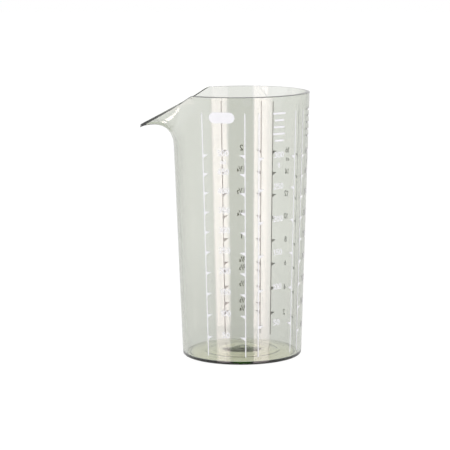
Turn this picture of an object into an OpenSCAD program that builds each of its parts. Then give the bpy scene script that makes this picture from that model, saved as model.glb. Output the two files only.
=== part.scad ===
// Clear tapered measuring jug with a wide pouring spout and five printed scales.
// The jug stands on the XY plane, its axis is Z and the spout points along -X.
// Every graduation is placed from the volume of the hollow, and the whole print sits a little high.

/* [Body] */
// Height of the rim above the table
body_h = 160; // [148:1:200]
// Outer radius at the rim
rim_r = 41.5; // [40:0.1:48]
// Outer radius at the table, before the rounded edge
base_r = 36.1; // [32:0.1:37]
// Wall thickness, measured level
wall = 2.3; // [1.6:0.1:3]
// How far the top of the rim falls from its inner edge to its outer one
rim_fall = 0.4; // [0.1:0.1:0.8]

/* [Base] */
// Height of the inside floor above the table, at its edge
floor_z = 1.8; // [1.6:0.1:4]
// Thickness of the floor
floor_t = 1.5; // [1.2:0.1:1.5]
// How far the coned floor rises from its edge to its middle
floor_rise = 2.7; // [1:0.1:4]
// Radius of the rounded outer bottom edge
base_round = 1.5; // [0.8:0.1:2.5]
// Radius of the rounded corner between floor and wall
floor_round = 0.8; // [0.5:0.1:2]
// Width of the foot ring
foot_w = 5; // [3:0.1:7]
// Radius of the flat disc in the middle of the underside
disc_r = 12.3; // [9:0.1:16]
// Radius of the boss in the middle of the floor
boss_r = 5.5; // [4:0.1:8]
// Height of the boss above the coned floor
boss_h = 0.7; // [0.3:0.1:2]
// Radius of the moulding gate's mark in the underside
gate_r = 1.3; // [0.8:0.1:2]
// Depth of the moulding gate's mark
gate_h = 0.5; // [0.2:0.1:0.8]
// Radius of the low ring round the underside
ring_r = 22; // [20:0.1:23]
// Width of that ring
ring_w = 3; // [2:0.1:3.5]
// Height of that ring
ring_h = 0.08; // [0.05:0.01:0.2]

/* [Spout] */
// How far the tip of the spout stands out from the wall
spout_out = 20.7; // [14:0.1:24]
// How far the tip lies below the rim
spout_drop = 20.5; // [15:0.5:26]
// Half angle of the spout's mouth, seen from the axis
spout_span = 54; // [48:1:58]
// Radius of the tip, seen from above
tip_r = 8.5; // [5:0.5:12]
// Rounding of the two corners where the lip meets the rim
corner_round = 0.8; // [0.5:0.1:2.5]
// How far below the rim the wall starts to flare
flare_drop = 34; // [32:1:46]
// Downward slope of the lip at the tip, in degrees
tip_droop = 26; // [14:1:28]
// Wall thickness at the tip
tip_wall = 1.6; // [1.2:0.1:2.2]
// How much further the lip falls to its outer edge along the spout
tip_nose = 1.4; // [0.6:0.1:1.6]

/* [Print] */
// Thickness of the printed ink
ink = 0.12; // [0.08:0.01:0.2]
// Width of the long upright lines
line_w = 0.65; // [0.4:0.05:1]
// Angle between the columns
column_step = 48.6; // [46:0.1:52]
// Half angle of each column
column_half = 18.4; // [16:0.1:19]
// Length of a graduation mark
mark_l = 3.4; // [1.5:0.1:4]
// Height of a graduation mark where it meets its line
mark_h = 2.3; // [1:0.1:3]
// Height of the figures
figure_h = 3.5; // [2.5:0.1:4.5]
// How far the foot of a figure lies below its graduation
figure_sink = 0.5; // [0:0.1:1.5]
// Stroke of the figures
figure_t = 0.6; // [0.3:0.05:0.65]
// Gap from the rim to the top of the lines
line_top = 9.5; // [7:0.5:14]
// Height of the bottom of the lines above the table
line_foot = 4.8; // [3:0.1:8]
// How far the whole print sits above its exact level
print_rise = 0.6; // [0:0.1:2]

/* [Scales] */
// Highest graduation of the volume scale, in millilitres
volume_top = 500; // [400:50:500]
// Step of the volume scale, in millilitres
volume_step = 50; // [50:50:100]
// Highest graduation of the flour scale, in grams
flour_top = 300; // [200:50:300]
// Highest graduation of the sugar scale, in grams
sugar_top = 450; // [300:50:450]
// Step of the flour and sugar scales, in grams
weight_step = 50; // [50:50:100]
// Highest graduation of the ounce scale, in fluid ounces
ounce_top = 16; // [8:2:16]
// Step of the ounce scale, in fluid ounces
ounce_step = 2; // [2:2:4]
// Least clear height between a top figure and the print above it
print_gap = 1.5; // [0.5:0.1:3]
// Millilitres that a gram of flour takes up
flour_ml = 1.667; // [1.55:0.001:1.7]
// Millilitres that flour settles by in the jug
flour_settle = 8.5; // [0:0.5:12]
// Millilitres that a gram of sugar takes up
sugar_ml = 1.09; // [1:0.01:1.12]
// Millilitres that sugar settles by in the jug
sugar_settle = 3; // [0:0.5:6]
// Millilitres in a fluid ounce
ounce_ml = 29.57; // [28.4:0.01:29.6]
// Millilitres in a cup
cup_ml = 236.6; // [236.6:0.1:250]

/* [Panel] */
// Width of the blank panel above the volume scale
panel_w = 15.5; // [10:0.5:18]
// Height of the blank panel
panel_h = 6.4; // [4:0.1:7]
// How far the panel's middle lies below the rim
panel_drop = 12; // [11.5:0.1:14]
// Angle from the middle of the volume scale to the panel's middle
panel_turn = -0.9; // [-4:0.1:4]

/* [Headings] */
// Number of bars in a heading
heading_rows = 5; // [3:1:5]
// Height of one heading bar
heading_bar = 1.1; // [0.8:0.1:2.2]
// Distance from one heading bar to the next
heading_step = 4; // [3.6:0.1:4.4]
// Mean length of a heading bar
heading_w = 7.6; // [5:0.1:9]
// Most that a heading bar is longer or shorter than the mean
heading_vary = 1.2; // [0:0.1:2]

/* [Hidden] */
$fn = 96;

clear_green = [0.84, 0.87, 0.80, 0.45];
ink_white = [0.95, 0.95, 0.97];

// The columns stand round the side that faces away from the spout.
sugar_az = 0;
flour_az = -column_step;
volume_az = -2 * column_step;
ounce_az = column_step;
cup_az = 2 * column_step;

// Taper of the wall, and its outer and inner radius at a height
taper = (rim_r - base_r) / body_h;
lean = sqrt(1 + taper * taper);
function wall_r(z) = base_r + taper * z;
function hollow_r(z) = wall_r(z) - wall;

// Points along an arc
function arc(cx, cy, rx, ry, a0, a1, n) = [
    for (i = [0:n])
        let (a = a0 + (a1 - a0) * i / n)
        [cx + rx * cos(a), cy + ry * sin(a)]
];

// Radius of the floor inside its rounded corner, and its height at a radius, without and with the boss
corner_y = floor_z + floor_round;
floor_r = hollow_r(corner_y) - floor_round * lean;
function floor_top(r) = floor_z + floor_rise * (1 - r / floor_r);
function boss_top(r) = floor_top(r) + boss_h * (1 + cos(180 * r / boss_r)) / 2;
// Height of the underside at a radius: flat under the disc, then coned, with the low ring
function ring_share(r) = max(0, 1 - pow(2 * (r - ring_r) / ring_w, 2));
function floor_under(r) = floor_top(max(r, disc_r)) - floor_t - ring_h * pow(ring_share(r), 2);

// Volumes that the cone, the boss and the rounded corner take from the plain hollow, in cubic millimetres
cone_loss = PI * floor_rise * floor_r * floor_r / 3;
boss_loss = PI * boss_h * boss_r * boss_r * (0.5 - 2 / (PI * PI));
corner_loss = 2 * PI * (1 - PI / 4) * floor_round * floor_round
    * (hollow_r(floor_z) - 0.22 * floor_round);

// Height of the mark for a volume in millilitres, from the cone's own volume
function level(ml) =
    let (a = hollow_r(floor_z))
    let (v = ml * 1000 + cone_loss + boss_loss + corner_loss)
    floor_z + print_rise + (pow(a * a * a + 3 * taper * v / PI, 1 / 3) - a) / taper;

// Flare of the spout, measured at an angle from its middle plane
corner_x = rim_r * cos(spout_span);
tip_x = wall_r(body_h - spout_drop) + spout_out;
lip_slope = spout_drop / (tip_x - corner_x);
flare_z = body_h - flare_drop;
tip_c = rim_r + spout_out - tip_r;
touch_a = acos((rim_r - tip_r) / tip_c);
tip_a = atan2(tip_r * sin(touch_a), tip_c + tip_r * cos(touch_a));
seam = 0.03;
// Pull of the flare's curve towards the straight wall, and towards the lip
wall_pull = 0.62;
lip_pull = 0.42;
// Share of the full flare by which half of the lip's extra fall is there
nose_spread = 0.04;
// How far the inner face may run on past the outer one, as a share of the flare's curve
inner_reach = 0.03;

function plan_r(a) =
    a <= tip_a ? tip_c * cos(a) + sqrt(max(0, tip_r * tip_r - pow(tip_c * sin(a), 2)))
    : a <= touch_a ? rim_r / cos(touch_a - a)
    : rim_r;
function flare(a) = plan_r(abs(a)) - rim_r;
function share(a) = flare(a) / spout_out;
// Run of the slanted lip past its corners, eased over the corner's rounding
function run(x) =
    let (d = x - corner_x, w = corner_round)
    d <= -w ? 0 : d >= w ? d : (d + w) * (d + w) / (4 * w);
// Height of the lip over a point that lies x from the axis along the spout
function lip_z(x) = body_h + seam - lip_slope * run(x);
// Fall of the lip to its outer edge at one angle
function edge_h(a) = rim_fall + tip_nose * share(a) / (share(a) + nose_spread);
// Height at which the flared wall meets the lip at one angle, less that edge
function edge_z(a, n = 4) =
    n == 0 ? body_h
    : lip_z((wall_r(edge_z(a, n - 1)) + flare(a)) * cos(a)) - edge_h(a);

// A cubic curve through the plane of one angle: s runs from the wall to the lip
function bez(p, s) =
    let (r = 1 - s)
    r * r * r * p[0] + 3 * r * r * s * p[1] + 3 * r * s * s * p[2] + s * s * s * p[3];
function flare_curve(a) =
    let (z1 = edge_z(a))
    let (start = [wall_r(flare_z), flare_z])
    let (end = [wall_r(z1) + flare(a), z1])
    let (d = norm(end - start))
    let (steep = 90 - atan(taper))
    let (turn = steep - (steep + tip_droop) * share(a))
    [start, start + wall_pull * d * [taper, 1] / lean,
     end - lip_pull * d * [cos(turn), sin(turn)], end];
function skin(a, s) =
    let (q = bez(flare_curve(a), s))
    [-q[0] * cos(a), q[0] * sin(a), q[1]];
// Outward normal of the flared skin, level at the foot of the flare
function skin_n(a, s) =
    let (da = 0.02, ds = 0.002)
    let (along = skin(a, s + ds) - skin(a, max(0, s - ds)))
    let (round = skin(a + da, s) - skin(a - da, s))
    let (c = cross(along, round))
    let (n = c / norm(c))
    let (m = [n[0], n[1], n[2] * min(1, 6 * s)])
    m / norm(m);
function skin_t(a, s) = wall - (wall - tip_wall) * s * share(a);
function inner(a, s) = skin(a, s) - (skin_t(a, s) + seam) * skin_n(a, s);
function outer(a, s) = skin(a, s) + seam * skin_n(a, s);
// How far the inner skin rises above the lip, for the search of where it ends
function over(a, s) =
    let (p = inner(a, s))
    p[2] - lip_z(-p[0]);
function end_between(a, lo, hi, n = 18) =
    let (mid = (lo + hi) / 2)
    n == 0 ? mid
    : over(a, mid) > 0 ? end_between(a, lo, mid, n - 1)
    : end_between(a, mid, hi, n - 1);
function inner_end(a) = end_between(a, 0.4, 1 + inner_reach * (1 - share(a)));

// One closed slice through the spout's wall
spout_rows = 12;
function slice(a) =
    let (e = inner_end(a))
    let (out = [for (j = [0:spout_rows]) outer(a, j / spout_rows)])
    let (back = [for (j = [spout_rows:-1:0]) inner(a, e * j / spout_rows)])
    concat(out, back);

// The spout's wall, as slices from one side of the mouth to the other, closer at the tip
spout_slices = 48;
tip_crowd = 1.45;
mouth_margin = 6;
spout_half = spout_span + mouth_margin;
module spout() {
    m = 2 * spout_rows + 2;
    angles = [
        for (i = [0:spout_slices])
            let (u = 2 * i / spout_slices - 1)
            spout_half * sign(u) * pow(abs(u), tip_crowd)
    ];
    points = [for (a = angles) each slice(a)];
    sides = [
        for (i = [0:spout_slices - 1], j = [0:m - 1])
            let (k = (j + 1) % m)
            each [
                [i * m + j, (i + 1) * m + j, i * m + k],
                [i * m + k, (i + 1) * m + j, (i + 1) * m + k]
            ]
    ];
    last = spout_slices * m;
    ends = [
        for (j = [0:m / 2 - 2])
            let (k = m - 1 - j)
            each [
                [j, j + 1, k], [k, j + 1, k - 1],
                [last + j, last + k, last + j + 1],
                [last + k, last + k - 1, last + j + 1]
            ]
    ];
    polyhedron(points, concat(sides, ends), convexity = 6);
}

// Half section of the jug: gate's mark, underside, foot ring, wall, rim, hollow, floor and boss
foot_ease = 0.9;
boss_rows = 8;
module jug_section() {
    flat_y = floor_under(0);
    foot_in = base_r - foot_w;
    lean_a = atan(taper);
    foot_x = base_r + taper * base_round - base_round * lean;
    polygon(concat(
        [[0, flat_y + gate_h], [gate_r, flat_y + gate_h], [gate_r, flat_y], [disc_r, flat_y]],
        [for (t = [-2:2]) let (r = ring_r + ring_w * t / 4) [r, floor_under(r)]],
        [[foot_in, floor_under(foot_in)], [foot_in + foot_ease, 0]],
        arc(foot_x, base_round, base_round, base_round, -90, -lean_a, 8),
        [[wall_r(body_h - rim_fall), body_h - rim_fall], [hollow_r(body_h), body_h]],
        arc(floor_r, corner_y, floor_round, floor_round, -lean_a, -90, 8),
        [for (i = [boss_rows:-1:0]) let (r = boss_r * i / boss_rows) [r, boss_top(r)]]
    ));
}

// The part of the plain wall that the spout takes the place of, less a lap along its edges
side_lap = 1.5;
foot_lap = 1;
module mouth_gap() {
    r = 4 * rim_r;
    a = spout_half - side_lap;
    translate([0, 0, flare_z + foot_lap])
        linear_extrude(flare_drop)
            polygon([[0, 0], [-r * cos(a), r * sin(a)], [-r * cos(a), -r * sin(a)]]);
}

module jug_body() {
    color(clear_green)
    union() {
        difference() {
            rotate_extrude() jug_section();
            mouth_gap();
        }
        spout();
    }
}

// A thin coat on the outside of the wall
module coat(z0, z1) {
    rotate_extrude()
        polygon([
            [wall_r(z0), z0], [wall_r(z0) + ink, z0],
            [wall_r(z1) + ink, z1], [wall_r(z1), z1]
        ]);
}

// Puts a flat figure on the wall, upright as seen from outside, deep enough for the wall's curve
punch = 1.6;
module on_wall(az, z) {
    rotate([90, 0, az + 90])
        translate([0, z, wall_r(z) - punch])
            linear_extrude(2 * punch)
                children();
}

// The two upright lines of a column with a mark at every level, pointing inwards
module column(az, levels) {
    z0 = line_foot;
    z1 = lines_head;
    color(ink_white)
    intersection() {
        coat(z0, z1);
        union() {
            for (side = [-1, 1]) {
                rotate([90, 0, az + side * column_half + 90])
                    translate([-line_w / 2, z0 - punch, base_r - punch])
                        linear_extrude(rim_r - base_r + 2 * punch)
                            square([line_w, z1 - z0 + 2 * punch]);
                for (z = levels)
                    on_wall(az + side * column_half, z)
                        polygon([[0, 0], [-side * mark_l, 0], [0, -mark_h]]);
            }
        }
    }
}

// Strokes of each sign, as lists of points in a box one unit high
function strokes(c) =
    c == "1" ? [[[0.14, 0.76], [0.36, 0.95]], [[0.34, 1], [0.34, 0]]]
    : c == "2" ? [concat(arc(0.3, 0.68, 0.24, 0.25, 165, -35, 9), [[0.09, 0.1]]),
                  [[0.03, 0.07], [0.57, 0.07]]]
    : c == "3" ? [arc(0.27, 0.715, 0.21, 0.215, 150, -88, 9),
                  arc(0.28, 0.295, 0.24, 0.225, 88, -150, 9)]
    : c == "4" ? [[[0.42, 0], [0.42, 1]], [[0.43, 0.97], [0.05, 0.3]], [[0, 0.27], [0.58, 0.27]]]
    : c == "5" ? [[[0.52, 0.93], [0.1, 0.93]], [[0.15, 0.97], [0.115, 0.48]],
                  arc(0.28, 0.325, 0.245, 0.255, 138, -145, 10)]
    : c == "6" ? [arc(0.62, 0.31, 0.555, 0.62, 178, 112, 7)]
    : c == "/" ? [[[0.02, 0], [0.4, 1]]]
    : c == "m" ? [[[0.07, 0], [0.07, 0.62]], [[0.43, 0], [0.43, 0.43]], [[0.79, 0], [0.79, 0.43]],
                  arc(0.25, 0.4, 0.18, 0.17, 180, 0, 8), arc(0.61, 0.4, 0.18, 0.17, 180, 0, 8)]
    : c == "l" ? [[[0.1, 0], [0.1, 1]]]
    : c == "g" ? [[[0.47, 0.62], [0.47, -0.1]], arc(0.27, -0.08, 0.2, 0.19, 0, -140, 7)]
    : c == "z" ? [[[0.04, 0.55], [0.46, 0.55]], [[0.42, 0.57], [0.08, 0.05]], [[0.04, 0.07], [0.46, 0.07]]]
    : c == "c" ? [arc(0.28, 0.31, 0.21, 0.25, 48, 312, 11)]
    : [];
// Closed loops of each sign: middle and half sizes
function loops(c) =
    c == "0" ? [[0.3, 0.5, 0.24, 0.43]]
    : c == "6" ? [[0.3, 0.3, 0.235, 0.23]]
    : c == "8" ? [[0.3, 0.725, 0.19, 0.205], [0.3, 0.295, 0.235, 0.225]]
    : c == "g" ? [[0.27, 0.32, 0.2, 0.25]]
    : c == "o" ? [[0.28, 0.31, 0.21, 0.25]]
    : [];
function pitch(c) =
    c == "m" ? 0.98 : c == "l" ? 0.36 : c == "1" ? 0.58 : c == "/" ? 0.5 : 0.68;
function sum_to(s, n) = n <= 0 ? 0 : pitch(s[n - 1]) + sum_to(s, n - 1);

// Outline of an open stroke of width t
function outline(p, t) =
    let (n = len(p) - 1)
    let (side = [
        for (i = [0:n])
            let (d = p[min(n, i + 1)] - p[max(0, i - 1)])
            t / 2 * [-d[1], d[0]] / norm(d)
    ])
    concat([for (i = [0:n]) p[i] + side[i]], [for (i = [n:-1:0]) p[i] - side[i]]);

// One row of signs, h high with strokes t wide, its middle at the origin
module signs(s, h, t) {
    w = sum_to(s, len(s)) - 0.08;
    for (i = [0:len(s) - 1])
        translate([(sum_to(s, i) - w / 2) * h, 0]) {
            for (p = strokes(s[i]))
                polygon(outline(p * h, t));
            for (q = loops(s[i]))
                difference() {
                    polygon(arc(q[0] * h, q[1] * h, q[2] * h + t / 2, q[3] * h + t / 2, 0, 345, 23));
                    polygon(arc(q[0] * h, q[1] * h, q[2] * h - t / 2, q[3] * h - t / 2, 0, 345, 23));
                }
        }
}

// A fraction with a sloping bar, and a whole number before it if there is one
module fraction(n, top, under) {
    h = figure_h;
    t = 0.8 * figure_t;
    small = 0.58 * h;
    move = len(n) > 0 ? 0.34 * h : 0;
    if (len(n) > 0)
        translate([-0.58 * h, 0]) signs(n, h, figure_t);
    translate([move - 0.36 * h, h - small]) signs(top, small, t);
    translate([move, 0]) polygon(outline([[-0.2 * h, 0], [0.2 * h, h]], t));
    translate([move + 0.36 * h, 0]) signs(under, small, t);
}

unit_h = 0.8 * figure_h;
unit_t = 0.85 * figure_t;
unit_drop = 1.4 * figure_h;

// Figures of a column, one row at every level, with the unit under the top one
module figures(az, values, levels, unit) {
    top = levels[0];
    color(ink_white)
    intersection() {
        coat(line_foot, lines_head);
        union() {
            for (i = [0:len(values) - 1])
                on_wall(az, levels[i] - figure_sink)
                    signs(values[i], figure_h, figure_t);
            on_wall(az, top - figure_sink - unit_drop)
                signs(unit, unit_h, unit_t);
        }
    }
}

// Plain bars of differing length, stacked between the rim and the top figure
bar_turn = 137;
function bar_w(i) = heading_w + heading_vary * cos(bar_turn * i);
module heading(az) {
    top = lines_head - heading_bar;
    color(ink_white)
    intersection() {
        coat(line_foot, body_h - rim_fall);
        for (i = [0:heading_rows - 1])
            on_wall(az, top - heading_step * i)
                translate([-bar_w(i) / 2, 0])
                    square([bar_w(i), heading_bar]);
    }
}

// Levels of the five scales, each from the top down, as far up as its figures stay clear
lines_head = body_h - line_top;
heading_foot = lines_head - heading_bar - heading_step * (heading_rows - 1);
panel_foot = body_h - panel_drop - panel_h / 2;
function fits(z, head) = z - figure_sink + figure_h + print_gap <= head;

function flour_level(g) = level(g * flour_ml - flour_settle);
function sugar_level(g) = level(g * sugar_ml - sugar_settle);
function ounce_level(n) = level(n * ounce_ml);
function whole(n) = n == "2" ? 2 : n == "1" ? 1 : 0;
function cup_level(c) = level((whole(c[0]) + (c[2] > 0 ? c[1] / c[2] : 0)) * cup_ml);

volume_values = [for (v = [volume_top:-volume_step:volume_step]) if (fits(level(v), panel_foot)) v];
volume_levels = [for (v = volume_values) level(v)];
flour_values = [
    for (g = [flour_top:-weight_step:weight_step])
        if (fits(flour_level(g), heading_foot)) g
];
flour_levels = [for (g = flour_values) flour_level(g)];
sugar_values = [
    for (g = [sugar_top:-weight_step:weight_step])
        if (fits(sugar_level(g), heading_foot)) g
];
sugar_levels = [for (g = sugar_values) sugar_level(g)];
ounce_values = [for (n = [ounce_top:-ounce_step:ounce_step]) if (fits(ounce_level(n), lines_head)) n];
ounce_levels = [for (n = ounce_values) ounce_level(n)];
cup_parts = [
    for (c = [
        ["2", 0, 0], ["1", 3, 4], ["1", 1, 2], ["1", 1, 4], ["1", 0, 0],
        ["", 3, 4], ["", 2, 3], ["", 1, 2], ["", 1, 3], ["", 1, 4]
    ])
        if (fits(cup_level(c), lines_head)) c
];
cup_levels = [for (c = cup_parts) cup_level(c)];

module volume_lines() {
    column(volume_az, volume_levels);
}

module volume_figures() {
    figures(volume_az, [for (v = volume_values) str(v)], volume_levels, "ml");
}

module flour_lines() {
    column(flour_az, flour_levels);
}

module flour_figures() {
    figures(flour_az, [for (v = flour_values) str(v)], flour_levels, "g");
}

module flour_heading() {
    heading(flour_az);
}

module sugar_lines() {
    column(sugar_az, sugar_levels);
}

module sugar_figures() {
    figures(sugar_az, [for (v = sugar_values) str(v)], sugar_levels, "g");
}

module sugar_heading() {
    heading(sugar_az);
}

module ounce_lines() {
    column(ounce_az, ounce_levels);
}

module ounce_figures() {
    figures(ounce_az, [for (v = ounce_values) str(v)], ounce_levels, "oz");
}

module cup_lines() {
    column(cup_az, cup_levels);
}

module cup_figures() {
    color(ink_white)
    intersection() {
        coat(line_foot, lines_head);
        union() {
            for (i = [0:len(cup_parts) - 1])
                on_wall(cup_az, cup_levels[i] - figure_sink)
                    if (cup_parts[i][2] > 0)
                        fraction(cup_parts[i][0], str(cup_parts[i][1]), str(cup_parts[i][2]));
                    else
                        signs(cup_parts[i][0], figure_h, figure_t);
            on_wall(cup_az, cup_levels[0] - figure_sink - unit_drop)
                signs("c", unit_h, unit_t);
        }
    }
}

// Blank rounded panel above the volume scale
module label_panel() {
    z = body_h - panel_drop;
    color(ink_white)
    intersection() {
        coat(z - panel_h, z + panel_h);
        on_wall(volume_az + panel_turn, z) {
            square([panel_w - panel_h, panel_h], center = true);
            for (s = [-1, 1])
                translate([s * (panel_w - panel_h) / 2, 0]) circle(d = panel_h);
        }
    }
}

jug_body();
label_panel();
volume_lines();
volume_figures();
flour_lines();
flour_figures();
flour_heading();
sugar_lines();
sugar_figures();
sugar_heading();
ounce_lines();
ounce_figures();
cup_lines();
cup_figures();
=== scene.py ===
"""Looks of a clear measuring jug with five printed scales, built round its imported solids.

All lengths are in metres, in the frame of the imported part: the jug stands on the XY plane,
its axis is Z and its spout points along -X.
"""

import logging
import math
from dataclasses import dataclass
from enum import Enum
from typing import Any, Mapping, Optional, Sequence, Union

import bpy
import numpy as np
from mathutils import Matrix, Vector


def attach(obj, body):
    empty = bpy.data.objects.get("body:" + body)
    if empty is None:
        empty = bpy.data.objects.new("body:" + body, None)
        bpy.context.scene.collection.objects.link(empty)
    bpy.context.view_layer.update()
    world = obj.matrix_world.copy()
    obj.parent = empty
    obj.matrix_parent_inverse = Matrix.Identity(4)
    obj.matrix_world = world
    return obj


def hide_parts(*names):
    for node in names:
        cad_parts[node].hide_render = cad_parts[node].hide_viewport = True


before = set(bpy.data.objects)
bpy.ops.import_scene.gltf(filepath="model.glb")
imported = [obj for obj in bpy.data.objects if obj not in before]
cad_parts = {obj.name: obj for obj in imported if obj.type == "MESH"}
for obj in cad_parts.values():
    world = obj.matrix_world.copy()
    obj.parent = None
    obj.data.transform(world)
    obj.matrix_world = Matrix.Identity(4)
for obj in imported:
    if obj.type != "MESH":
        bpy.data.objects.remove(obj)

MM = 0.001
ROOT = "root"
BOUNCES = 32
GLOSSY_BOUNCES = 12
log = logging.getLogger("measuring_jug")


class Slot(Enum):
    """Names of the two material slots."""

    PLASTIC = "clear_plastic"
    INK = "white_ink"


class Scale(Enum):
    """The five printed scales, by the first word of their nodes."""

    VOLUME = "volume"
    FLOUR = "flour"
    SUGAR = "sugar"
    OUNCE = "ounce"
    CUP = "cup"


class Ray(Enum):
    """Kinds of light path that the studio tells apart."""

    CAMERA = "Is Camera Ray"
    TRANSMISSION = "Is Transmission Ray"
    GLOSSY_DEPTH = "Glossy Depth"
    DIFFUSE_DEPTH = "Diffuse Depth"
    TRANSMISSION_DEPTH = "Transmission Depth"


Value = Union["Signal", float]
Colour = Union["Signal", Sequence[float]]
RGB = tuple[float, float, float]
Span = tuple[float, float]

WHITE: RGB = (1.0, 1.0, 1.0)


class Signal:
    """A shader socket that takes part in Python arithmetic."""

    def __init__(self, sheet: "NodeSheet", socket: bpy.types.NodeSocket) -> None:
        """Wraps a socket.

        Args:
            sheet: the node sheet that new nodes go on.
            socket: the output socket to wrap.
        """
        self.sheet = sheet
        self.socket = socket

    def math(self, operation: str, first: Value, second: Value = 0.0) -> "Signal":
        """Adds one Math node.

        Args:
            operation: the node's operation.
            first: its first operand.
            second: its second operand.

        Returns:
            The node's result.
        """
        node = self.sheet.add("ShaderNodeMath", {"operation": operation}, {0: first, 1: second})
        return self.sheet.out(node)

    def __add__(self, other: Value) -> "Signal":
        """Sum of two values."""
        return self.math("ADD", self, other)

    __radd__ = __add__

    def __sub__(self, other: Value) -> "Signal":
        """This value less another."""
        return self.math("SUBTRACT", self, other)

    def __rsub__(self, other: Value) -> "Signal":
        """Another value less this one."""
        return self.math("SUBTRACT", other, self)

    def __mul__(self, other: Value) -> "Signal":
        """Product of two values."""
        return self.math("MULTIPLY", self, other)

    __rmul__ = __mul__

    def __truediv__(self, other: Value) -> "Signal":
        """This value divided by another."""
        return self.math("DIVIDE", self, other)

    def at_most(self, other: Value) -> "Signal":
        """The lesser of two values."""
        return self.math("MINIMUM", self, other)

    def at_least(self, other: Value) -> "Signal":
        """The greater of two values."""
        return self.math("MAXIMUM", self, other)

    def size(self) -> "Signal":
        """This value without its sign."""
        return self.math("ABSOLUTE", self)

    def under(self, limit: Value) -> "Signal":
        """One where this value is less than a limit, and zero elsewhere."""
        return self.math("LESS_THAN", self, limit)

    def ease(self, low: float, high: float) -> "Signal":
        """A smooth step from zero at low to one at high."""
        node = self.sheet.add(
            "ShaderNodeMapRange",
            {"interpolation_type": "SMOOTHSTEP"},
            {"Value": self, "From Min": low, "From Max": high},
        )
        return self.sheet.out(node)


class NodeSheet:
    """The node tree of one material or world."""

    def __init__(self, tree: bpy.types.NodeTree) -> None:
        """Empties a node tree.

        Args:
            tree: the tree to fill.
        """
        self.tree = tree
        tree.nodes.clear()

    def add(
        self,
        kind: str,
        settings: Optional[Mapping[str, Any]] = None,
        inputs: Optional[Mapping[Union[str, int], Any]] = None,
    ) -> bpy.types.Node:
        """Adds one node.

        Args:
            kind: the node's type.
            settings: its own properties, set before the sockets.
            inputs: a value or a Signal for each named or numbered socket.

        Returns:
            The new node.
        """
        node = self.tree.nodes.new(kind)
        for name, value in (settings or {}).items():
            setattr(node, name, value)
        for key, value in (inputs or {}).items():
            if isinstance(value, Signal):
                self.tree.links.new(value.socket, node.inputs[key])
            else:
                node.inputs[key].default_value = value
        return node

    def out(self, node: bpy.types.Node, output: Union[str, int] = 0) -> Signal:
        """The wrapped output of a node."""
        return Signal(self, node.outputs[output])

    def noise(self, place: Signal, per_metre: float, detail: float = 2.0) -> Signal:
        """Cloudy noise between zero and one.

        Args:
            place: the coordinates that it lives in.
            per_metre: how many cells a metre holds.
            detail: octaves of finer noise.

        Returns:
            The noise value.
        """
        node = self.add("ShaderNodeTexNoise", inputs={"Vector": place, "Scale": per_metre, "Detail": detail})
        return self.out(node, "Fac")

    def stretched(self, place: Signal, factors: Sequence[float]) -> Signal:
        """Coordinates scaled along each axis."""
        return self.vector("MULTIPLY", place, factors)

    def blend(self, share: Value, first: Colour, second: Colour) -> Signal:
        """A colour between two others.

        Args:
            share: zero for the first colour, one for the second.
            first: the first colour, or its red, green and blue.
            second: the second colour, or its red, green and blue.

        Returns:
            The mixed colour.
        """
        ends = [c if isinstance(c, Signal) else (*c, 1) for c in (first, second)]
        node = self.add("ShaderNodeMix", {"data_type": "RGBA"}, {0: share, 6: ends[0], 7: ends[1]})
        return self.out(node, 2)

    def vector(self, operation: str, first: Colour, second: Colour) -> Signal:
        """Two colours or vectors joined, part by part."""
        values = {i: v if isinstance(v, Signal) else tuple(v) for i, v in enumerate((first, second))}
        return self.out(self.add("ShaderNodeVectorMath", {"operation": operation}, values))

    def scaled(self, colour: Colour, factor: Signal) -> Signal:
        """A colour made stronger or weaker."""
        value = colour if isinstance(colour, Signal) else tuple(colour)
        return self.out(self.add("ShaderNodeVectorMath", {"operation": "SCALE"}, {0: value, "Scale": factor}))

    def bump(self, height: Signal, depth: float) -> Signal:
        """Normals bent by a height field of a given depth in metres."""
        node = self.add("ShaderNodeBump", inputs={"Height": height, "Strength": 1.0, "Distance": depth})
        return self.out(node, "Normal")

    def place(self) -> Signal:
        """The object's own coordinates, in metres."""
        return self.out(self.add("ShaderNodeTexCoord"), "Object")

    def rays(self) -> dict[Ray, Signal]:
        """What the light path says of the ray that meets the surface."""
        node = self.add("ShaderNodeLightPath")
        return {ray: self.out(node, ray.value) for ray in Ray}


def new_material(name: str) -> tuple[bpy.types.Material, NodeSheet]:
    """Makes an empty node material.

    Args:
        name: the material's name.

    Returns:
        The material and its node sheet.
    """
    material = bpy.data.materials.new(name)
    material.use_nodes = True
    return material, NodeSheet(material.node_tree)


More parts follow.
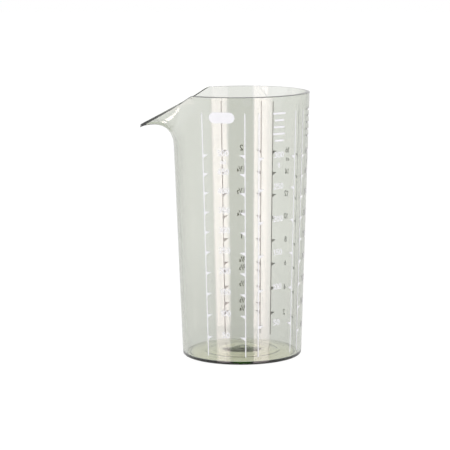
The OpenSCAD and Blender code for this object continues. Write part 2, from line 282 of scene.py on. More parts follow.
@dataclass(frozen=True)
class ClearPlastic:
    """Clear rigid plastic with a faint grey-green tint, polished on both sides."""

    ior: float = 1.57
    tint: RGB = (0.225, 0.267, 0.117)
    density: float = 120.0
    polish: float = 0.012
    haze: float = 0.03
    wave_depth: float = 0.004 * MM
    waves_per_metre: float = 26.0
    wave_stretch: tuple[float, float, float] = (1.0, 1.0, 0.35)
    scuffs_per_metre: float = 420.0
    scuff_stretch: tuple[float, float, float] = (1.0, 1.0, 0.2)
    scuff_edges: Span = (0.62, 0.8)
    scuffed: RGB = (0.97, 0.98, 0.97)

    def material(self) -> bpy.types.Material:
        """Builds the material.

        Returns:
            A material whose tint deepens with the length of the way through it.
        """
        material, sheet = new_material("clear_grey_green_plastic")
        place = sheet.place()
        waves = sheet.noise(sheet.stretched(place, self.wave_stretch), self.waves_per_metre, 1.0)
        scuffs = sheet.noise(sheet.stretched(place, self.scuff_stretch), self.scuffs_per_metre, 3.0)
        scuffs = scuffs.ease(*self.scuff_edges)
        shader = sheet.add(
            "ShaderNodeBsdfPrincipled",
            inputs={
                "Base Color": sheet.blend(scuffs, WHITE, self.scuffed),
                "Roughness": scuffs * self.haze + self.polish,
                "IOR": self.ior,
                "Transmission Weight": 1.0,
                "Normal": sheet.bump(waves, self.wave_depth),
            },
        )
        inside = sheet.add(
            "ShaderNodeVolumeAbsorption", inputs={"Color": (*self.tint, 1), "Density": self.density}
        )
        sheet.add(
            "ShaderNodeOutputMaterial",
            inputs={"Surface": sheet.out(shader), "Volume": sheet.out(inside)},
        )
        return material


@dataclass(frozen=True)
class ScreenInk:
    """Thin opaque white screen print with a satin face."""

    full: RGB = (0.94, 0.93, 0.965)
    thin: RGB = (0.88, 0.87, 0.91)
    ior: float = 1.48
    roughness: float = 0.42
    grain_rough: float = 0.2
    mesh_per_metre: float = 5200.0
    cloud_per_metre: float = 260.0
    cloud_edges: Span = (0.45, 0.8)
    cloud_share: float = 0.6
    grain_share: float = 0.2
    grain_depth: float = 0.008 * MM

    def material(self) -> bpy.types.Material:
        """Builds the material.

        Returns:
            A white ink with the mottle and fine grain of a printing screen.
        """
        material, sheet = new_material("white_screen_ink")
        place = sheet.place()
        cloud = sheet.noise(place, self.cloud_per_metre, 3.0)
        grain = sheet.noise(place, self.mesh_per_metre, 1.0)
        worn = cloud.ease(*self.cloud_edges) * self.cloud_share + grain * self.grain_share
        shader = sheet.add(
            "ShaderNodeBsdfPrincipled",
            inputs={
                "Base Color": sheet.blend(worn, self.full, self.thin),
                "Roughness": grain * self.grain_rough + self.roughness,
                "IOR": self.ior,
                "Normal": sheet.bump(grain, self.grain_depth),
            },
        )
        sheet.add("ShaderNodeOutputMaterial", inputs={"Surface": sheet.out(shader)})
        return material


@dataclass(frozen=True)
class WhiteFloor:
    """Plain white studio floor that still takes the jug's shadow."""

    paper: RGB = (0.80, 0.80, 0.80)
    paper_thin: RGB = (0.792, 0.792, 0.792)
    grain_per_metre: float = 90.0
    lift: float = 0.85
    glow: float = 1.1
    # Painted shade: seen through the jug, the floor's glow falls to this share at the jug and eases back
    # between the next two radii.
    shade: float = 0.82
    shade_near: float = 0.03
    shade_far: float = 0.5
    # Painted shadow: the darker yellow that the floor under the jug's foot shows through the plastic, out to
    # the radii below.
    under: RGB = (0.92, 0.91, 0.65)
    painted_shadow_edges: Span = (0.030, 0.038)

    def material(self) -> bpy.types.Material:
        """Builds the material.

        Returns:
            A matt white that the camera sees lifted to white, and less so through the jug, where a painted
            shadow darkens it near the jug and paints it yellow under the foot.
            A ray that a face of the jug has turned back goes through to the surround.
        """
        material, sheet = new_material("white_studio_floor")
        rays = sheet.rays()
        place = sheet.place()
        grain = sheet.noise(place, self.grain_per_metre, 3.0)
        away = sheet.out(sheet.add("ShaderNodeVectorMath", {"operation": "LENGTH"}, {0: place}), "Value")
        direct = rays[Ray.DIFFUSE_DEPTH].under(0.5)
        through = rays[Ray.TRANSMISSION] * direct
        # Painted shade: how much glow is taken from the floor near the jug, for rays through the plastic.
        near = 1.0 - (away.ease(self.shade_near, self.shade_far) * (1.0 - self.shade) + self.shade)
        matt = sheet.add(
            "ShaderNodeBsdfDiffuse", inputs={"Color": sheet.blend(grain, self.paper, self.paper_thin)}
        )
        # Painted shadow under the foot: one there and easing to zero outside, turning the floor seen through
        # the jug to the shadow colour.
        painted_shadow_under_jug = 1.0 - away.ease(*self.painted_shadow_edges)
        seen = sheet.blend(through * painted_shadow_under_jug, WHITE, self.under)
        white = sheet.add(
            "ShaderNodeEmission",
            inputs={"Color": sheet.scaled(seen, (1.0 - through * near) * self.glow), "Strength": 1.0},
        )
        lifted = sheet.add(
            "ShaderNodeMixShader",
            inputs={
                0: rays[Ray.CAMERA].at_least(through) * self.lift,
                1: sheet.out(matt),
                2: sheet.out(white),
            },
        )
        gone = sheet.add("ShaderNodeBsdfTransparent")
        both = sheet.add(
            "ShaderNodeMixShader",
            inputs={
                0: rays[Ray.GLOSSY_DEPTH].at_most(1.0) * direct,
                1: sheet.out(lifted),
                2: sheet.out(gone),
            },
        )
        sheet.add("ShaderNodeOutputMaterial", inputs={"Surface": sheet.out(both)})
        return material


def arc(
    centre: Sequence[float], radius: float, start: float, end: float, steps: int
) -> list[tuple[float, float]]:
    """Points along an arc in the plane of radius and height.

    Args:
        centre: radius and height of the arc's centre.
        radius: the arc's own radius.
        start: first angle, in radians.
        end: last angle, in radians.
        steps: number of stretches.

    Returns:
        The points, ends included.
    """
    return [
        (centre[0] + radius * math.cos(a), centre[1] + radius * math.sin(a))
        for a in np.linspace(start, end, steps + 1)
    ]


def length(v: np.ndarray) -> np.ndarray:
    """Lengths of vectors, with the last axis kept."""
    return np.maximum(np.linalg.norm(v, axis=-1, keepdims=True), 1e-9)


@dataclass
class JugBody:
    """The clear moulding: foot, tapered wall, flared spout, rounded lip, coned floor and boss."""

    height: float = 160.0 * MM
    rim_r: float = 41.5 * MM
    base_r: float = 36.1 * MM
    wall: float = 2.3 * MM
    rim_fall: float = 0.4 * MM
    edge_round: float = 0.12 * MM
    edge_inside: float = 0.2 * MM
    floor_z: float = 1.8 * MM
    base_round: float = 1.5 * MM
    floor_round: float = 0.8 * MM
    foot_w: float = 5.0 * MM
    floor_t: float = 1.5 * MM
    floor_rise: float = 2.7 * MM
    disc_r: float = 12.3 * MM
    boss_r: float = 5.5 * MM
    boss_h: float = 0.7 * MM
    gate_r: float = 1.3 * MM
    gate_h: float = 0.5 * MM
    ring_r: float = 22.0 * MM
    ring_w: float = 3.0 * MM
    ring_h: float = 0.08 * MM
    spout_out: float = 20.7 * MM
    spout_drop: float = 20.5 * MM
    spout_span: float = math.radians(54.0)
    tip_r: float = 8.5 * MM
    corner_round: float = 0.8 * MM
    flare_drop: float = 34.0 * MM
    tip_droop: float = math.radians(26.0)
    tip_wall: float = 1.6 * MM
    tip_nose: float = 1.4 * MM
    nose_spread: float = 0.04
    inner_reach: float = 0.03
    wall_pull: float = 0.62
    lip_pull: float = 0.42
    ink_key: float = 0.03 * MM
    ripple_depth: float = 0.02 * MM
    ripple_step: float = 4.2 * MM
    nib: float = 0.15 * MM
    corner_limit: float = 0.45
    crease: float = math.radians(40.0)
    flare_rows: int = 40
    wall_rows: int = 24
    lip_rows: int = 8
    under_rows: int = 66
    step_rows: int = 8
    boss_rows: int = 24
    arc_steps: int = 12
    settle_rounds: int = 4
    halvings: int = 24
    disc_shares: tuple[float, ...] = (0.3, 0.6, 0.9, 0.98)
    floor_shares: tuple[float, ...] = (0.99, 0.97, 0.9, 0.8, 0.7, 0.6, 0.5, 0.4, 0.3)

    def __post_init__(self) -> None:
        """Works out what follows from the sizes."""
        self.taper = (self.rim_r - self.base_r) / self.height
        self.lean = math.hypot(1.0, self.taper)
        self.corner_x = self.rim_r * math.cos(self.spout_span)
        self.tip_x = self.wall_r(self.height - self.spout_drop) + self.spout_out
        self.lip_slope = self.spout_drop / (self.tip_x - self.corner_x)
        self.flare_z = self.height - self.flare_drop
        self.floor_r = self.wall_r(self.floor_z + self.floor_round) - self.wall - self.floor_round * self.lean
        self.tip_c = self.rim_r + self.spout_out - self.tip_r
        self.touch_a = math.acos((self.rim_r - self.tip_r) / self.tip_c)
        self.tip_a = math.atan2(
            self.tip_r * math.sin(self.touch_a), self.tip_c + self.tip_r * math.cos(self.touch_a)
        )

    def wall_r(self, z: float) -> float:
        """Outer radius of the plain wall at a height."""
        return self.base_r + self.taper * z

    def angles(self) -> np.ndarray:
        """Angles round the jug from the spout's middle plane, closer where the outline turns.

        Returns:
            The angles, in radians, from one side of the back to the other.
        """
        stretches = ((0, 46, 0.4), (46, 62, 0.5), (62, 180, 1.0))
        half = np.concatenate([np.arange(start, end, step) for start, end, step in stretches])
        return np.radians(np.concatenate([-half[:0:-1], half, [180.0]]))

    def flare(self, a: np.ndarray) -> np.ndarray:
        """How far the lip stands out past the plain wall at each angle."""
        a = np.abs(a)
        tip = self.tip_c * np.cos(a) + np.sqrt(np.maximum(0, self.tip_r**2 - (self.tip_c * np.sin(a)) ** 2))
        side = self.rim_r / np.cos(np.minimum(np.abs(self.touch_a - a), 1.4))
        plan = np.where(a <= self.tip_a, tip, np.where(a <= self.touch_a, side, self.rim_r))
        return plan - self.rim_r

    def run(self, x: np.ndarray) -> np.ndarray:
        """Run of the slanted lip past its corners, eased over the corner's rounding."""
        d = x - self.corner_x
        w = self.corner_round
        return np.where(d <= -w, 0, np.where(d >= w, d, (d + w) ** 2 / (4 * w)))

    def lip_z(self, x: np.ndarray) -> np.ndarray:
        """Height of the lip over a point that lies x along the spout from the axis."""
        return self.height - self.lip_slope * self.run(x)

    def lean_at_lip(self, a: np.ndarray) -> np.ndarray:
        """Slope of the wall at the lip, from upright on the plain rim to drooping at the tip."""
        steep = math.pi / 2 - math.atan(self.taper)
        return steep - (steep + self.tip_droop) * self.flare(a) / self.spout_out

    def thick(self, a: np.ndarray, s: np.ndarray) -> np.ndarray:
        """Thickness of the upper wall, which thins towards the tip."""
        return self.wall - (self.wall - self.tip_wall) * s * self.flare(a) / self.spout_out

    def edge_h(self, a: np.ndarray) -> np.ndarray:
        """How far the lip's outer edge lies below its inner one, more along the spout."""
        share = self.flare(a) / self.spout_out
        return self.rim_fall + self.tip_nose * share / (share + self.nose_spread)

    def edge_z(self, a: np.ndarray) -> np.ndarray:
        """Height at which the flared wall meets the lip's edge at each angle."""
        z = np.full_like(a, self.height)
        for _ in range(self.settle_rounds):
            z = self.lip_z((self.wall_r(z) + self.flare(a)) * np.cos(a)) - self.edge_h(a)
        return z

    def skin(self, a: np.ndarray, s: np.ndarray) -> np.ndarray:
        """Outer face of the upper wall.

        Args:
            a: angles from the spout's middle plane.
            s: zero at the foot of the flare to one at the lip, of the same shape.

        Returns:
            Points, with X, Y and Z along the last axis.
        """
        end_z = self.edge_z(a)
        start = np.stack([np.full_like(a, self.wall_r(self.flare_z)), np.full_like(a, self.flare_z)], -1)
        end = np.stack([self.wall_r(end_z) + self.flare(a), end_z], -1)
        d = np.linalg.norm(end - start, axis=-1, keepdims=True)
        turn = self.lean_at_lip(a)
        rise = np.array([self.taper, 1.0]) / self.lean
        near = start + self.wall_pull * d * rise
        far = end - self.lip_pull * d * np.stack([np.cos(turn), np.sin(turn)], -1)
        s = s[..., None]
        r = 1 - s
        q = r**3 * start + 3 * r**2 * s * near + 3 * r * s**2 * far + s**3 * end
        return np.stack([-q[..., 0] * np.cos(a), q[..., 0] * np.sin(a), q[..., 1]], -1)

    def skin_normal(self, a: np.ndarray, s: np.ndarray) -> np.ndarray:
        """Outward normals of the upper wall, level at the foot of the flare."""
        da, ds = 0.0004, 0.002
        along = self.skin(a, s + ds) - self.skin(a, np.maximum(0, s - ds))
        across = self.skin(a + da, s) - self.skin(a - da, s)
        normal = np.cross(along, across)
        normal /= np.linalg.norm(normal, axis=-1, keepdims=True)
        normal[..., 2] *= np.minimum(1, 6 * s)
        return normal / np.linalg.norm(normal, axis=-1, keepdims=True)

    def outer(self, a: np.ndarray, s: np.ndarray) -> np.ndarray:
        """Outer face, proud of the skin by the depth that the ink keys into."""
        return self.skin(a, s) + self.ink_key * self.skin_normal(a, s)

    def inner(self, a: np.ndarray, s: np.ndarray) -> np.ndarray:
        """Inner face of the upper wall."""
        return self.skin(a, s) - self.thick(a, s)[..., None] * self.skin_normal(a, s)

    def inner_end(self, a: np.ndarray) -> np.ndarray:
        """Where the inner face meets the lip at each angle, found by halving."""
        low, high = np.full_like(a, 0.4), 1 + self.inner_reach * (1 - self.flare(a) / self.spout_out)
        for _ in range(self.halvings):
            middle = (low + high) / 2
            p = self.inner(a, middle)
            over = p[..., 2] > self.lip_z(-p[..., 0])
            low, high = np.where(over, low, middle), np.where(over, middle, high)
        return (low + high) / 2

    def near_corner(self, edge: np.ndarray, radius: float) -> np.ndarray:
        """Share of an edge that the rounding of a corner takes up."""
        return np.minimum(self.corner_limit, radius / length(edge))

    def lip(self, outer: Sequence[np.ndarray], inner: Sequence[np.ndarray]) -> list[np.ndarray]:
        """Rows of points over the lip, with both of its edges rounded.

        Args:
            outer: the outer face's last two rows, the edge last.
            inner: the inner face's first two rows, the edge first.

        Returns:
            Rows from the outer face to the inner one.
        """
        corners = (
            (outer[0], outer[1], inner[0], self.edge_round),
            (outer[1], inner[0], inner[1], self.edge_inside),
        )
        rows = []
        for before, corner, after, radius in corners:
            start = corner + (before - corner) * self.near_corner(before - corner, radius)
            end = corner + (after - corner) * self.near_corner(after - corner, radius)
            for t in np.linspace(0.0, 1.0, self.lip_rows):
                rows.append((1 - t) ** 2 * start + 2 * t * (1 - t) * corner + t**2 * end)
        return rows

    def floor_top(self, r: float) -> float:
        """Height of the coned floor at a radius, without the boss."""
        return self.floor_z + self.floor_rise * (1.0 - r / self.floor_r)

    def boss_top(self, r: float) -> float:
        """Height of the floor and the boss on it at a radius."""
        bell = 0.5 + 0.5 * math.cos(math.pi * min(1.0, r / self.boss_r))
        return self.floor_top(r) + self.boss_h * bell

    def floor_under(self, r: float) -> float:
        """Height of the underside at a radius: flat in the middle, then coned, with a low ring."""
        ring = max(0.0, 1.0 - (2 * (r - self.ring_r) / self.ring_w) ** 2)
        return self.floor_top(max(r, self.disc_r)) - self.floor_t - self.ring_h * ring**2

    def underside(self) -> list[tuple[float, float]]:
        """Radius and height from the gate's mark to the top of the rounded bottom edge."""
        nib = self.nib
        flat = self.floor_under(0.0)
        mark = flat + self.gate_h
        points = [(self.gate_r * 0.6, mark), (self.gate_r - nib, mark), (self.gate_r, mark - nib)]
        points += [(self.gate_r, flat + nib), (self.gate_r + nib, flat)]
        points += [(self.disc_r * t, flat) for t in self.disc_shares]
        foot_in = self.base_r - self.foot_w
        for r in np.linspace(self.disc_r * 1.02, foot_in - nib * 2, self.under_rows):
            wave = 0.5 - 0.5 * math.cos(2 * math.pi * (r - self.disc_r) / self.ripple_step)
            points.append((float(r), self.floor_under(float(r)) + self.ripple_depth * wave**6))
        step = points[-1][1]
        for t in np.linspace(0, math.pi, self.step_rows + 1)[1:]:
            points.append((foot_in + nib * 2 * t, step * (1 + math.cos(t)) / 2))
        foot_x = self.base_r + self.taper * self.base_round - self.base_round * self.lean
        lean_a = math.atan(self.taper)
        points += [(foot_x - 2 * nib, 0.0)]
        points += arc((foot_x, self.base_round), self.base_round, -math.pi / 2, -lean_a, self.arc_steps)
        return points

    def floor(self) -> list[tuple[float, float]]:
        """Radius and height from the foot of the inner wall to the top of the boss."""
        corner = (self.floor_r, self.floor_z + self.floor_round)
        points = arc(corner, self.floor_round, -math.atan(self.taper), -math.pi / 2, self.arc_steps)
        radii = [self.floor_r * t for t in self.floor_shares]
        radii += list(np.linspace(self.boss_r * 1.1, 0.0, self.boss_rows + 1)[:-1])
        return points + [(float(r), self.boss_top(float(r))) for r in radii]

    def rows(self, a: np.ndarray) -> np.ndarray:
        """All rows of the closed section, from the gate's mark out, over the lip and down to the boss.

        Args:
            a: angles from the spout's middle plane.

        Returns:
            Points by row and angle, with X, Y and Z along the last axis.
        """

        def ring(r: float, z: float) -> np.ndarray:
            """One level row of points."""
            return np.stack([-r * np.cos(a), r * np.sin(a), np.full_like(a, z)], -1)

        under, floor = self.underside(), self.floor()
        rows = [ring(r, z) for r, z in under]
        for z in np.linspace(under[-1][1], self.flare_z, self.wall_rows + 1)[1:-1]:
            rows.append(ring(self.wall_r(z) + self.ink_key, z))
        steps = [i / self.flare_rows for i in range(self.flare_rows + 1)]
        last = self.inner_end(a)
        outside = [self.outer(a, np.full_like(a, s)) for s in steps]
        inside = [self.inner(a, last * s) for s in steps[::-1]]
        rows += outside[:-1] + self.lip(outside[-2:], inside[:2]) + inside[1:]
        for z in np.linspace(self.flare_z, floor[0][1], self.wall_rows + 1)[1:-1]:
            rows.append(ring(self.wall_r(z) - self.wall, z))
        rows += [ring(r, z) for r, z in floor]
        return np.stack(rows)

    def build(self) -> bpy.types.Object:
        """Makes the moulding as one closed smooth mesh.

        Returns:
            The new object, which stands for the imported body.
        """
        a = self.angles()[:-1]
        rows = self.rows(a)
        count, n = rows.shape[:2]
        verts = rows.reshape(-1, 3)
        low, high = len(verts), len(verts) + 1
        poles = [(0.0, 0.0, rows[0, 0, 2]), (0.0, 0.0, self.boss_top(0.0))]
        i = np.arange(n)
        k = (i + 1) % n
        quads = [
            np.stack([j * n + i, (j + 1) * n + i, (j + 1) * n + k, j * n + k], -1) for j in range(count - 1)
        ]
        faces = np.concatenate(quads).tolist()
        faces += [(low, int(x), int(y)) for x, y in zip(i, k)]
        top = (count - 1) * n
        faces += [(high, int(top + y), int(top + x)) for x, y in zip(i, k)]
        mesh = bpy.data.meshes.new("moulded_jug")
        mesh.from_pydata(np.concatenate([verts, poles]).tolist(), [], faces)
        mesh.validate()
        mesh.polygons.foreach_set("use_smooth", [True] * len(mesh.polygons))
        mesh.set_sharp_from_angle(angle=self.crease)
        body = bpy.data.objects.new("moulded_jug", mesh)
        bpy.context.scene.collection.objects.link(body)
        return body

    def dress(self, body: bpy.types.Object, plastic: ClearPlastic) -> None:
        """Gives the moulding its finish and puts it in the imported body's place.

        Args:
            body: the mesh that build made.
            plastic: its finish.
        """
        body.data.materials.append(plastic.material())
        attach(body, ROOT)
        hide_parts("jug_body")


@dataclass
class PrintedScales:
    """The screen print: lines, figures, headings and the blank panel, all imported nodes."""

    headed: tuple[Scale, ...] = (Scale.FLOUR, Scale.SUGAR)
    panel: str = "label_panel"

    def names(self) -> list[str]:
        """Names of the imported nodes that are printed."""
        pairs = [f"{scale.value}_{kind}" for scale in Scale for kind in ("lines", "figures")]
        return pairs + [f"{scale.value}_heading" for scale in self.headed] + [self.panel]

    def dress(self, ink: ScreenInk) -> None:
        """Gives every printed node the ink's finish.

        Args:
            ink: the finish.
        """
        material = ink.material()
        for name in self.names():
            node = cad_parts[name]
            if not node.material_slots:
                node.data.materials.append(material)
            for slot in node.material_slots:
                slot.material = material
            log.info("printed %s", name)


@dataclass(frozen=True)
class Viewpoint:
    """The camera at the photograph's viewing angle."""

    distance: float = 1.22645
    height: float = 0.26972
    turn: float = math.radians(7.85)
    yaw: float = -0.00807
    pitch: float = 0.15439
    roll: float = -0.00752
    lens: float = 163.9
    sensor: float = 36.0
    clip: Span = (0.05, 50.0)

    def axes(self) -> tuple[Vector, Vector, Vector]:
        """Right, up and forward of the camera in the part's frame.

        Returns:
            Three unit vectors.
        """
        forward = Vector(
            (
                math.sin(self.yaw) * math.cos(self.pitch),
                math.cos(self.yaw) * math.cos(self.pitch),
                -math.sin(self.pitch),
            )
        )
        level = Vector((math.cos(self.yaw), -math.sin(self.yaw), 0.0))
        above = level.cross(forward)
        right = math.cos(self.roll) * level + math.sin(self.roll) * above
        up = math.cos(self.roll) * above - math.sin(self.roll) * level
        spin = Matrix.Rotation(self.turn, 3, "Z")
        return spin @ right, spin @ up, spin @ forward

    def build(self) -> bpy.types.Object:
        """Makes the camera and sets it as the scene's own.

        Returns:
            The camera.
        """
        data = bpy.data.cameras.new("viewpoint")
        data.lens, data.sensor_width, data.sensor_fit = self.lens, self.sensor, "HORIZONTAL"
        data.clip_start, data.clip_end = self.clip
        camera = bpy.data.objects.new("viewpoint", data)
        bpy.context.scene.collection.objects.link(camera)
        right, up, forward = self.axes()
        spin = Matrix.Rotation(self.turn, 3, "Z")
        turned = Matrix((right, up, -forward)).transposed().to_4x4()
        camera.matrix_world = Matrix.Translation(spin @ Vector((0, -self.distance, self.height))) @ turned
        bpy.context.scene.camera = camera
        return camera


@dataclass(frozen=True)
class Panel:
    """A bright soft panel of the surround, placed by angles seen from the jug, in degrees.

    Angles round the jug count from the camera, positive to its right. The panel is a painted reflection: only
    mirrored rays see it, and it lights nothing.
    """

    left: float
    right: float
    low: float
    high: float
    glow: float
    soft_left: float = 2.0
    soft_right: float = 2.0
    soft_up: float = 3.0

    def mask(self, turn: Signal, rise: Signal) -> Signal:
        """How much of the panel lies in a direction.

        Args:
            turn: the direction's angle round the jug, in degrees.
            rise: its angle above the level, in degrees.

        Returns:
            One on the panel, easing to zero at its edges.
        """
        inside = turn.ease(self.left, self.left + self.soft_left)
        inside = inside * (1.0 - turn.ease(self.right - self.soft_right, self.right))
        inside = inside * rise.ease(self.low, self.low + self.soft_up)
        return inside * (1.0 - rise.ease(self.high - self.soft_up, self.high))


@dataclass(frozen=True)
class Strip:
    """A bright bent strip that hangs over the jug, placed on a level plane one unit above it.

    Its middle line runs from behind the jug to the camera's side and bends to the camera's right. It is a
    painted reflection that only mirrored rays see, and it paints the bright streak on the spout.
    """

    offset: float
    bend: float
    straight: float
    back: float
    front: float
    half: float
    narrowing: float
    glow: float
    core: Span = (0.6, 1.0)
    lowest: float = 0.02
    soft_low: float = 0.08
    soft_back: float = 0.06
    soft_front: float = 0.3

    def mask(self, side: Signal, ahead: Signal, up: Signal) -> Signal:
        """How much of the strip lies in a direction.

        Args:
            side: share of the direction to the camera's right.
            ahead: share of it to the camera.
            up: share of it upwards.

        Returns:
            One on the strip, easing to zero at its edges.
        """
        height = up.at_least(self.lowest)
        across, along = side / height, ahead / height
        middle = (along - self.straight) * (along - self.straight) * self.bend + self.offset
        apart = (across - middle).size()
        width = (1.0 - along.ease(self.back, self.front) * self.narrowing) * self.half
        inside = 1.0 - (apart / width).ease(*self.core)
        inside = inside * along.ease(self.back, self.back + self.soft_back)
        inside = inside * (1.0 - along.ease(self.front - self.soft_front, self.front))
        return inside * up.ease(self.lowest, self.lowest + self.soft_low)


@dataclass
class Studio:
    """White floor, two soft lamps and a white surround with bright panels beside the camera.

    Spans give where an effect starts and where it is full: horizon_low, horizon_high and low_span in
    degrees above the level, below_front_side in the square of the share to the side, and the others in
    shares of the looking direction. Outer colours are those that a ray meets before it enters the plastic.
    What the surround shows in reflections is painted: highlights from panels and a strip, and painted shade
    and tints from the rest.
    """

    view: Viewpoint
    floor_half: float = 4.0
    floor_gap: float = 0.2 * MM
    lamp_away: float = 1.3
    lamp_turn: float = math.radians(48.0)
    lamp_rise: float = math.radians(32.0)
    lamp_size: float = 0.8
    lamp_level: float = 0.09
    ambient: float = 0.95
    ambient_inside: RGB = (1.2, 1.15, 1.0)
    # Painted shade in reflections: the dim front, yellow-green in rays from inside the plastic and near black
    # for outer faces.
    dim: RGB = (0.22, 0.25, 0.02)
    dim_outer: RGB = (0.02, 0.02, 0.02)
    front_span: Span = (0.45, 0.8)
    # Levels of the painted surround in reflections, beside and behind the jug.
    beside: float = 1.25
    behind: float = 0.95
    behind_span: Span = (0.3, 0.9)
    # Painted shade in reflections: a dark line low behind the jug, on the camera's left, for outer faces.
    horizon: float = 0.12
    horizon_low: Span = (-3.0, 0.0)
    horizon_high: Span = (8.0, 10.0)
    horizon_behind: Span = (0.85, 0.93)
    horizon_left: Span = (0.04, 0.1)
    low_span: Span = (-22.0, -17.5)
    # Painted reflections of what lies low: pale below, and a strong green low in front for outer faces.
    below: RGB = (0.78, 0.81, 0.72)
    below_outer: RGB = (0.8, 0.8, 0.78)
    below_front: RGB = (0.24, 0.9, 0.06)
    below_front_side: Span = (0.04, 0.1)
    below_front_span: Span = (0.6, 0.8)
    # Painted highlights: this tint, the panels and the strip below are seen only in reflections.
    warm: RGB = (1.0, 0.872, 0.89)
    panels: tuple[Panel, ...] = (
        Panel(left=-54.5, right=-19.7, low=-26.0, high=10.0, glow=3.4, soft_left=6.5, soft_right=8.0),
        Panel(left=20.4, right=60.8, low=-45.0, high=0.0, glow=3.4, soft_left=3.6, soft_right=11.5),
        Panel(left=30.0, right=58.0, low=10.0, high=80.0, glow=2.4, soft_right=2.0, soft_up=6.0),
    )
    strip: Strip = Strip(
        offset=0.44, bend=0.37, straight=-0.65, back=-0.75, front=0.9, half=0.15, narrowing=0.6, glow=18.0
    )

    def heading(self) -> tuple[Vector, Vector]:
        """Level directions from the jug to the camera and to the camera's right."""
        right, _, forward = self.view.axes()
        front = Vector((-forward.x, -forward.y, 0.0)).normalized()
        return front, Vector((right.x, right.y, 0.0)).normalized()

    def floor(self) -> None:
        """Lays the floor just under the foot ring."""
        h = self.floor_half
        mesh = bpy.data.meshes.new("studio_floor")
        corners = [(x, y, -self.floor_gap) for x, y in ((-h, -h), (h, -h), (h, h), (-h, h))]
        mesh.from_pydata(corners, [], [(0, 1, 2, 3)])
        mesh.materials.append(WhiteFloor().material())
        floor = bpy.data.objects.new("studio_floor", mesh)
        bpy.context.scene.collection.objects.link(floor)
        floor.visible_glossy = False

    def lamp(self, name: str, side: float) -> None:
        """Hangs one soft lamp beside and above the camera, turned to the jug.

        Args:
            name: the lamp's name.
            side: -1 for the left, 1 for the right.
        """
        front, right = self.heading()
        level = front * math.cos(self.lamp_turn) + right * (side * math.sin(self.lamp_turn))
        away = level * math.cos(self.lamp_rise) + Vector((0, 0, math.sin(self.lamp_rise)))
        lamp = bpy.data.lights.new(name, "AREA")
        lamp.shape = "DISK"
        lamp.size = self.lamp_size
        lamp.energy = self.lamp_level * math.pi * math.pi * self.lamp_away**2
        bulb = bpy.data.objects.new(name, lamp)
        bpy.context.scene.collection.objects.link(bulb)
        facing = away.to_track_quat("Z", "Y").to_matrix().to_4x4()
        bulb.matrix_world = Matrix.Translation(away * self.lamp_away) @ facing
        bulb.visible_camera = False
        bulb.visible_glossy = False
        bulb.visible_transmission = False

    def reflected(self, sheet: NodeSheet, rays: Mapping[Ray, Signal]) -> Signal:
        """Colour of the surround in reflections.

        Args:
            sheet: the world's node sheet.
            rays: what the light path says of the ray.

        Returns:
            The colour, all painted reflection: bright panels and a strip as painted highlights, a dim front
                and a dark line as painted shade, and tinted colours for what lies low and behind.
        """
        look = sheet.out(sheet.add("ShaderNodeTexCoord"), "Generated")

        def along(axis: Vector) -> Signal:
            """Share of the looking direction that lies along an axis."""
            node = sheet.add("ShaderNodeVectorMath", {"operation": "DOT_PRODUCT"}, {0: look, 1: tuple(axis)})
            return sheet.out(node, "Value")

        front, right = self.heading()
        ahead, side, up = along(front), along(right), along(Vector((0, 0, 1)))
        turn = look.math("ARCTAN2", side, ahead) * math.degrees(1.0)
        rise = look.math("ARCSINE", up) * math.degrees(1.0)
        back, left = 0.0 - ahead, 0.0 - side
        outer = rays[Ray.TRANSMISSION_DEPTH].under(0.5)

        # Painted highlights: the strip and the panels, for mirrored rays only.
        lit = self.strip.mask(side, ahead, up) * self.strip.glow
        for panel in self.panels:
            lit = lit + panel.mask(turn, rise) * panel.glow

        # Painted shade: the surround's level beside and behind, with a dark line low behind on the left for
        # outer faces.
        around = back.ease(*self.behind_span) * (self.behind - self.beside) + self.beside
        line = rise.ease(*self.horizon_low) * (1.0 - rise.ease(*self.horizon_high))
        line = line * back.ease(*self.horizon_behind) * left.ease(*self.horizon_left) * outer
        around = around * (1.0 - line * (1.0 - self.horizon))
        # Painted shade: the dim front, yellow-green in rays from inside the plastic.
        dim = sheet.blend(outer, self.dim, self.dim_outer)
        dark = sheet.blend(ahead.ease(*self.front_span), sheet.scaled(WHITE, around), dim)

        # Painted reflection: a strong green low in front for outer faces.
        band = (1.0 - (side * side).ease(*self.below_front_side)) * ahead.ease(*self.below_front_span) * outer
        low = sheet.blend(band, sheet.blend(outer, self.below, self.below_outer), self.below_front)
        dark = sheet.blend(rise.ease(*self.low_span), low, dark)
        return sheet.vector("MAXIMUM", dark, sheet.scaled(self.warm, lit))

    def surround(self) -> None:
        """Sets the world: white where it is seen, soft where it lights, and the studio in reflections."""
        world = bpy.data.worlds.new("white_surround")
        bpy.context.scene.world = world
        world.use_nodes = True
        sheet = NodeSheet(world.node_tree)
        rays = sheet.rays()
        direct = rays[Ray.DIFFUSE_DEPTH].under(0.5)
        mirrored = rays[Ray.GLOSSY_DEPTH].at_most(1.0) * direct
        clear = rays[Ray.CAMERA].at_least(rays[Ray.TRANSMISSION]) * direct * (1.0 - mirrored)
        soft = sheet.blend(rays[Ray.TRANSMISSION], (self.ambient,) * 3, self.ambient_inside)
        colour = sheet.blend(mirrored, sheet.blend(clear, soft, WHITE), self.reflected(sheet, rays))
        back = sheet.add("ShaderNodeBackground", inputs={"Color": colour, "Strength": 1.0})
        sheet.add("ShaderNodeOutputWorld", inputs={"Surface": sheet.out(back)})

    def build(self) -> None:
        """Sets up the whole studio."""
        self.floor()
        self.lamp("left_lamp", -1.0)
        self.lamp("right_lamp", 1.0)
        self.surround()


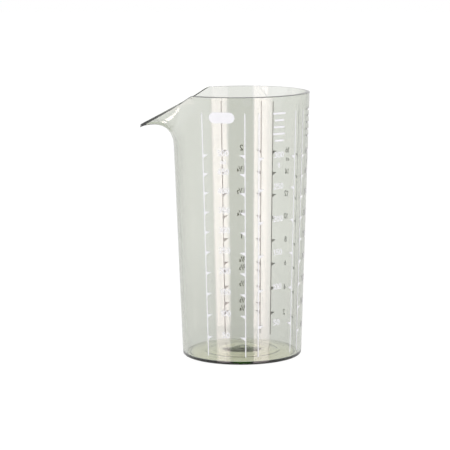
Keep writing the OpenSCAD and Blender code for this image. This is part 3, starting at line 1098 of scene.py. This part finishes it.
def main() -> None:
    """Builds the jug's looks and its studio."""
    logging.basicConfig(level=logging.INFO)
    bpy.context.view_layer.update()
    scene = bpy.context.scene
    scene.view_settings.view_transform = "Standard"
    scene.cycles.max_bounces = BOUNCES
    scene.cycles.transmission_bounces = BOUNCES
    scene.cycles.glossy_bounces = GLOSSY_BOUNCES
    jug = JugBody()
    body = jug.build()
    jug.dress(body, ClearPlastic())
    log.info("moulded_jug has %d faces", len(body.data.polygons))
    PrintedScales().dress(ScreenInk())
    view = Viewpoint()
    view.build()
    Studio(view).build()


if __name__ == "__main__":
    main()
